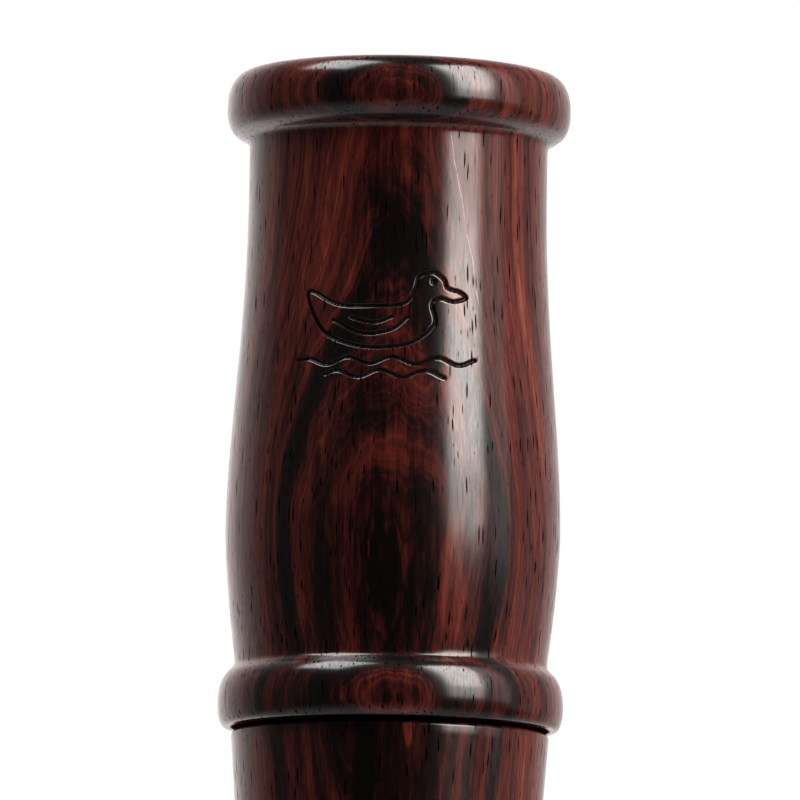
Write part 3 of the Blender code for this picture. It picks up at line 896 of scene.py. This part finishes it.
def finish_piece(piece, material, body, node, sharp=CUT_SHARP):
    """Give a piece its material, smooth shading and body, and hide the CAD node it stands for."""
    piece.data.materials.clear()
    piece.data.materials.append(material)
    round_over(piece.data, sharp)
    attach(piece, body)
    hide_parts(node)


def rod_profile():
    """Round rod from its tip down, with a rounded groove for each seal."""
    floor = ROD_RADIUS - GROOVE_DEPTH
    lip = GROOVE_LIP
    points = arc(ROD_RADIUS - ROD_ROUND, ROD_HIGH.z - ROD_ROUND, ROD_ROUND, 90, 0, 5)
    for groove in reversed(GROOVE_HEIGHTS):
        above = INSERT_LENGTH + groove + GROOVE_WIDTH / 2
        below = INSERT_LENGTH + groove - GROOVE_WIDTH / 2
        points += [(ROD_RADIUS, above + lip), (ROD_RADIUS - lip, above), (floor + lip, above),
                   (floor, above - lip), (floor, below + lip), (floor + lip, below),
                   (ROD_RADIUS - lip, below), (ROD_RADIUS, below - lip)]
    return points + arc(ROD_RADIUS - ROD_ROUND, ROD_LOW.z + ROD_ROUND, ROD_ROUND, 0, -90, 5)


def turned_solid(name, profile, count):
    """Turned shape that is closed by a flat face at each end of its profile."""
    rings = len(profile)
    faces = ring_faces(rings, count, rings - 1)
    faces.append(tuple(range(count)))
    faces.append(tuple(range(rings * count - 1, (rings - 1) * count - 1, -1)))
    return closed_object(name, ring_points(profile, count), faces)


def bed_depth(height):
    """y of the reed bed at a height: flat under the reeds' roots, then falling away."""
    beyond = max(0.0, height - BED_FLAT_END)
    return BED_SETBACK + BED_RADIUS - sqrt(BED_RADIUS ** 2 - beyond ** 2)


def make_tone_board(rubber):
    """Black rod with a flat bed, an air channel, a drilled bore and two seal grooves."""
    rod = turned_solid("tone_board_finished", rod_profile(), 96)
    past_tip = ROD_HIGH.z + 1.0 * MM
    steps = 24
    outline = [(BED_SETBACK, NOTCH_FOOT)]
    for step in range(steps + 1):
        height = BED_FLAT_END + (past_tip - BED_FLAT_END) * step / steps
        outline.append((bed_depth(height), height))
    outline += [(-OUTSIDE, past_tip), (-OUTSIDE, NOTCH_FOOT + (OUTSIDE + BED_SETBACK) * tan(NOTCH_LEAN))]
    combine(rod, prism("bed_cut", outline, -OUTSIDE, OUTSIDE))
    half = CHANNEL_WIDTH / 2
    low = NOTCH_FOOT + NOTCH_GAP
    centre = CHANNEL_TOP - half
    outline = [(half, low)]
    outline += [(half * cos(radians(angle)), centre + half * sin(radians(angle)))
                for angle in range(0, 181, 10)]
    outline.append((-half, low))

    def channel_floor(z):
        share = (z - low) / (CHANNEL_TOP - low)
        return BED_SETBACK + CHANNEL_DEPTH_LOW + (CHANNEL_DEPTH_HIGH - CHANNEL_DEPTH_LOW) * share

    combine(rod, plate("channel_cut", outline, lambda z: BED_SETBACK - NOTCH_GAP, channel_floor))
    bore = [(BORE_HOLE_RADIUS, NOTCH_FOOT + CHANNEL_WIDTH), (BORE_HOLE_RADIUS, ROD_LOW.z - 1.0 * MM)]
    drill = turned_solid("bore_cut", bore, 48)
    drill.data.transform(Matrix.Translation((0.0, BORE_HOLE_SETBACK, 0.0)))
    combine(rod, drill)
    soften_edges(rod, ROD_EDGE)
    finish_piece(rod, rubber, "insert", "tone_board")


def make_seal(name, node, groove_height, rubber):
    """Rubber ring with the faint moulding line round its outer side."""
    size = SEAL_CORD_RADIUS
    middle = ROD_RADIUS - GROOVE_DEPTH + SEAL_CLEARANCE + size
    height = INSERT_LENGTH + groove_height
    profile = []
    for step, turn in enumerate(even_angles(28)):
        seam = SEAL_SEAM if step in (0, 14) else 0.0
        profile.append((middle + (size - SEAL_TRIM + seam) * cos(turn), height - size * sin(turn)))
    finish_piece(turned(name, profile, 112), rubber, "seals", node, SEAL_SHARP)


def reed_outline(butt, tip):
    """Outline of a reed, with its two tip corners clipped and every corner rounded."""
    half = REED_WIDTH / 2
    corners = [(half, butt), (half, tip - REED_CORNER), (half - REED_CORNER, tip),
               (REED_CORNER - half, tip), (-half, tip - REED_CORNER), (-half, butt)]
    points = []
    for n, corner in enumerate(corners):
        before, after = Vector(corners[n - 1]), Vector(corners[(n + 1) % len(corners)])
        corner = Vector(corner)
        trim = REED_TIP_ROUND if 0 < n < 5 else REED_BUTT_ROUND
        first = corner + (before - corner).normalized() * trim
        last = corner + (after - corner).normalized() * trim
        for step in range(6):
            t = step / 5
            points.append(tuple(first * (1 - t) ** 2 + corner * 2 * t * (1 - t) + last * t ** 2))
    return points


def make_reed(name, node, back, film):
    outline = reed_outline(REED_BUTT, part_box(node)[1].z)
    reed = plate(name, outline, lambda z: back - REED_THICKNESS, lambda z: back)
    soften_edges(reed, REED_EDGE)
    finish_piece(reed, film, node, node)


def make_wedge(cork):
    """Cork wedge in the notch over the reeds, sanded round with the rod."""
    foot = NOTCH_FOOT + NOTCH_GAP / cos(NOTCH_LEAN)
    rear_low = foot + (BED_SETBACK - WEDGE_BACK) * tan(NOTCH_LEAN)
    rear_high = foot + (BED_SETBACK + OUTSIDE) * tan(NOTCH_LEAN)
    front_high = WEDGE_FRONT + (OUTSIDE + WEDGE_BACK) * tan(WEDGE_FRONT_SLOPE)
    outline = [(WEDGE_BACK, rear_low), (WEDGE_BACK, WEDGE_FRONT),
               (-OUTSIDE, front_high), (-OUTSIDE, rear_high)]
    wedge = prism("cork_wedge", outline, -ROD_RADIUS, ROD_RADIUS)
    radius = ROD_RADIUS - WEDGE_INSET
    round_side = [(radius, ROD_HIGH.z), (radius, INSERT_LENGTH)]
    combine(wedge, turned_solid("wedge_round", round_side, 96), "INTERSECT")
    soften_edges(wedge, WEDGE_EDGE, segments=3)
    finish_piece(wedge, cork, "insert", "wedge")


# ------------ small materials
def hard_rubber_material():
    """Polished black hard rubber with fine lathe and file marks."""
    web = new_material("polished_hard_rubber", specular_ior_level=0.5, ior=1.6)
    place = web.millimetres(web.place())
    marks = web.noise(web.stretch(place, 0.25, 7.0), 1.0, 3.0, 0.6)
    haze = web.noise(web.stretch(place, 0.5, 0.5), 1.0, 4.0, 0.6)
    colour = web.ramp(haze, [(0.3, (0.0075, 0.0068, 0.0066)), (0.7, (0.013, 0.0115, 0.0108))])
    rough = web.plus(web.spread(haze, 0.3, 0.7, 0.16, 0.28, smooth=False),
                     web.spread(marks, 0.55, 0.75, 0.0, 0.12))
    return paint(web, colour, rough, marks, 0.00002, 0.35)


def seal_rubber_material():
    """Dull black rubber with a little bloom and dust."""
    web = new_material("seal_rubber", specular_ior_level=0.35)
    place = web.millimetres(web.place())
    bloom = web.noise(place, 0.9, 4.0, 0.6)
    grit = web.noise(place, 9.0, 2.0, 0.6)
    colour = web.ramp(bloom, [(0.35, (0.012, 0.012, 0.013)), (0.7, (0.028, 0.027, 0.027))])
    rough = web.spread(bloom, 0.3, 0.7, 0.48, 0.66, smooth=False)
    return paint(web, colour, rough, grit, 0.00003, 0.4)


def cork_material():
    """Pressed cork: pale grains, brown joints and dark pits."""
    web = new_material("sanded_cork", specular_ior_level=0.2)
    place = web.millimetres(web.place())
    warp = web.noise(place, 1.4, output="Color")
    grain_place = web.vector("ADD", place, web.stretch(warp, 0.5, 0.5))
    cells = web.node("TexVoronoi", {"Vector": grain_place, "Scale": 0.95})
    edge = web.node("TexVoronoi", {"Vector": grain_place, "Scale": 0.95}, feature="DISTANCE_TO_EDGE")
    shade = web.channel(cells.outputs["Color"], "Green")
    colour = web.ramp(shade, [(0.0, (0.34, 0.17, 0.075)), (0.5, (0.46, 0.26, 0.125)),
                              (1.0, (0.58, 0.36, 0.19))])
    joint = web.spread(edge.outputs["Distance"], 0.0, 0.07, 1.0, 0.0)
    colour = web.mix(web.times(joint, 0.6), colour, (0.13, 0.055, 0.025, 1.0))
    pits = web.spread(web.noise(place, 2.6, 3.0, 0.6), 0.62, 0.7)
    colour = web.mix(web.times(pits, 0.85), colour, (0.06, 0.028, 0.014, 1.0))
    fine = web.noise(place, 7.0, 3.0, 0.6)
    rough = web.spread(fine, 0.3, 0.7, 0.78, 0.95, smooth=False)
    height = web.less(web.times(fine, 0.4), web.plus(pits, web.times(joint, 0.5)))
    return paint(web, colour, rough, height, 0.00012, 0.7)


def reed_film_material():
    """Milky polyester film, a little scuffed along its length."""
    web = new_material("polyester_film", alpha=0.8, ior=1.6)
    place = web.millimetres(web.place())
    scuff = web.noise(web.stretch(place, 3.0, 0.25), 1.0, 4.0, 0.65)
    cloud = web.noise(place, 0.35, 2.0, 0.5)
    colour = web.ramp(cloud, [(0.3, (0.40, 0.45, 0.46)), (0.7, (0.54, 0.58, 0.58))])
    return paint(web, colour, web.spread(scuff, 0.35, 0.7, 0.2, 0.4), scuff, 0.00001, 0.3)


# ------------ stage
def area_light(name, azimuth, elevation, width, height, radiance, colour):
    """Soft box that faces the call. Azimuth 0 is in front (-Y), positive towards +X."""
    light = bpy.data.lights.new(name, "AREA")
    light.shape = "RECTANGLE"
    light.size = width
    light.size_y = height
    light.energy = radiance * pi * width * height
    light.color = colour
    lamp = new_object(name, light)
    turn, rise = radians(azimuth), radians(elevation)
    target = Vector((0.0, 0.0, (cad_low.z + cad_high.z) / 2))
    away = Vector((sin(turn) * cos(rise), -cos(turn) * cos(rise), sin(rise)))
    lamp.location = target + away * LIGHT_DISTANCE
    lamp.rotation_euler = (-away).to_track_quat("-Z", "Y").to_euler()
    lamp.visible_camera = False


# Soft boxes: name, azimuth, elevation, width, height, radiance, colour.
LIGHT_DISTANCE = 1.0
KEY_COLOUR = (1.0, 0.95, 0.90)
LIGHTS = (
    ("key_softbox", 52.0, 30.0, 0.5, 1.10, 6.4, KEY_COLOUR),
    ("key_upper", 52.0, 37.0, 0.42, 0.9, 8.6, KEY_COLOUR),
    ("right_glow", 79.0, 28.0, 0.3, 1.1, 1.2, (1.0, 0.95, 0.92)),
    ("right_reflector", 98.0, 22.0, 0.6, 1.2, 0.3, (1.0, 0.88, 0.85)),
    ("left_high", -62.0, 60.0, 0.5, 0.5, 10.0, (1.0, 1.0, 1.0)),
)

# Light that comes from the room, by direction: -1 is in front of the call, 1 is behind it.
BACKDROP_GLOW = ((-1.0, 0.006), (-0.87, 0.016), (-0.72, 0.045), (-0.5, 0.085), (-0.14, 0.11), (0.14, 0.15),
                 (0.45, 0.55), (0.75, 1.05), (1.0, 1.15))
# The same light from side to side: -1 is the call's left, 1 its right.
SIDE_GLOW = ((-1.0, 0.85), (-0.8, 0.95), (-0.5, 1.3), (-0.3, 1.45), (0.0, 1.25), (0.3, 1.0), (0.5, 0.85),
             (0.7, 0.58), (1.0, 0.45))
TABLE_GLOW = 0.5  # from below
ROOM_TINT = (1.0, 0.93, 0.92)
FLOOR_FRONT = -0.5
FLOOR_REACH = 12.0
# Painted light: the floor's own glow, dimmer under the call and brighter further off, so the floor is
# painted darker under the call.
FLOOR_GLOW = ((0.0, (0.40, 0.40, 0.40)), (1.0, (0.93, 0.93, 0.93)))  # under the call, and further off
FLOOR_GLOW_NEAR = 0.06
FLOOR_GLOW_FAR = 0.8


def make_world():
    """White behind the call for the camera, and a dim to bright room that lights it."""
    world = bpy.data.worlds.new("studio")
    bpy.context.scene.world = world
    world.use_nodes = True
    web = Web(world.node_tree)
    seen = world.node_tree.nodes["Background"]
    web.feed(seen.inputs["Color"], (1.0, 1.0, 1.0, 1.0))
    parts = web.parts(web.node("TexCoord").outputs["Generated"])
    glow = web.ramp(web.spread(parts["Y"], -1.0, 1.0, smooth=False), tone_stops(BACKDROP_GLOW))
    sides = web.ramp(web.spread(parts["X"], -1.0, 1.0, smooth=False), tone_stops(SIDE_GLOW))
    glow = web.vector("MULTIPLY", web.vector("MULTIPLY", glow, sides), ROOM_TINT)
    table = web.spread(parts["Z"], -0.22, -0.75, 0.0, TABLE_GLOW)
    below = web.node("CombineXYZ", {0: table, 1: table, 2: table}).outputs[0]
    glow = web.vector("ADD", glow, below)
    room = web.node("Background", {"Color": glow})
    path = web.node("LightPath").outputs["Is Camera Ray"]
    both = web.node("MixShader", {0: path, 1: room.outputs[0], 2: seen.outputs[0]})
    web.feed(world.node_tree.nodes["World Output"].inputs["Surface"], both.outputs[0])


def make_floor():
    """Pale table with a painted glow that is dimmer under the call and brighter away from it, so that it
    meets the background without an edge.
    """
    corners = ((-FLOOR_REACH, FLOOR_FRONT, 0.0), (FLOOR_REACH, FLOOR_FRONT, 0.0),
               (FLOOR_REACH, FLOOR_REACH, 0.0), (-FLOOR_REACH, FLOOR_REACH, 0.0))
    mesh = new_mesh("floor", corners, [(0, 1, 2, 3)])
    floor = new_object("floor", mesh)
    web = new_material("pale_floor", base_color=(0.34, 0.34, 0.335, 1.0), roughness=0.9,
                       emission_strength=1.0)
    away = web.length(web.place())
    glow = web.ramp(web.spread(away, FLOOR_GLOW_NEAR, FLOOR_GLOW_FAR, smooth=False), FLOOR_GLOW)
    # Painted light: the emission is weaker near the call, which paints the floor darker round it, where
    # real shadows also fall.
    web.feed(web.shader["Emission Color"], glow)
    mesh.materials.append(web.material)
    floor.visible_diffuse = False
    floor.visible_glossy = False


CAMERA_LENS = 481.4
CAMERA_BELOW = radians(6.75)
CAMERA_LEAN = radians(0.872)
CAMERA_DISTANCE = 1.15
CAMERA_TARGET = Vector((0.0, 0.0, BARREL_BASE + 35.55 * MM))
CAMERA_SHIFT = 0.0064


def make_camera():
    """A long lens from slightly below, leaning by nearly a degree."""
    lens = bpy.data.cameras.new("camera")
    lens.lens = CAMERA_LENS
    lens.sensor_width = 36.0
    lens.clip_start = 0.05
    lens.clip_end = 50.0
    lens.shift_x = CAMERA_SHIFT
    camera = new_object("camera", lens)
    back = Vector((0.0, -cos(CAMERA_BELOW), -sin(CAMERA_BELOW)))
    camera.location = CAMERA_TARGET + back * CAMERA_DISTANCE
    camera.rotation_euler = (-back).to_track_quat("-Z", "Y").to_euler()
    camera.rotation_euler.rotate_axis("Z", CAMERA_LEAN)
    bpy.context.scene.camera = camera


def main():
    groups = (growth_rings_group(), pigment_cloud_group(), vessels_group(), pale_vein_group())
    mouth = (LIP_RADIUS, BARREL_HIGH.z - 6.0 * MM, BARREL_HIGH.z - 2.0 * MM,
             BARREL_BASE, INSERT_TOP_RADIUS + 0.1 * MM)
    shoulder = (INSERT_TOP_RADIUS - INSERT_TOP_ROUND, INSERT_LENGTH - 2.0 * MM, INSERT_LENGTH - 0.4 * MM,
                0.0, RIM_FACE_RADIUS)
    barrel_wood = rosewood("barrel_rosewood", groups, BARREL_STREAKS, mouth, engraved=True, vein=True)
    insert_wood = rosewood("insert_rosewood", groups, INSERT_STREAKS, shoulder, depth_offset=1.4,
                           tone_shift=0.07, lean=0.02)
    barrel = make_barrel("barrel_turned")
    finish_piece(barrel, barrel_wood, "barrel", "barrel", TURNED_SHARP)
    insert = turned("insert_turned", insert_profile(), 160)
    finish_piece(insert, insert_wood, "insert", "insert", TURNED_SHARP)
    make_tone_board(hard_rubber_material())
    seal_rubber = seal_rubber_material()
    make_seal("seal_lower", "o_ring_lower", GROOVE_HEIGHTS[0], seal_rubber)
    make_seal("seal_upper", "o_ring_upper", GROOVE_HEIGHTS[1], seal_rubber)
    make_wedge(cork_material())
    film = reed_film_material()
    make_reed("reed_lower_film", "reed_lower", REED_LOWER_BACK, film)
    make_reed("reed_upper_film", "reed_upper", REED_UPPER_BACK, film)
    make_world()
    make_floor()
    for light in LIGHTS:
        area_light(*light)
    make_camera()
    view = bpy.context.scene.view_settings
    view.view_transform = "Standard"
    view.look = "None"


main()
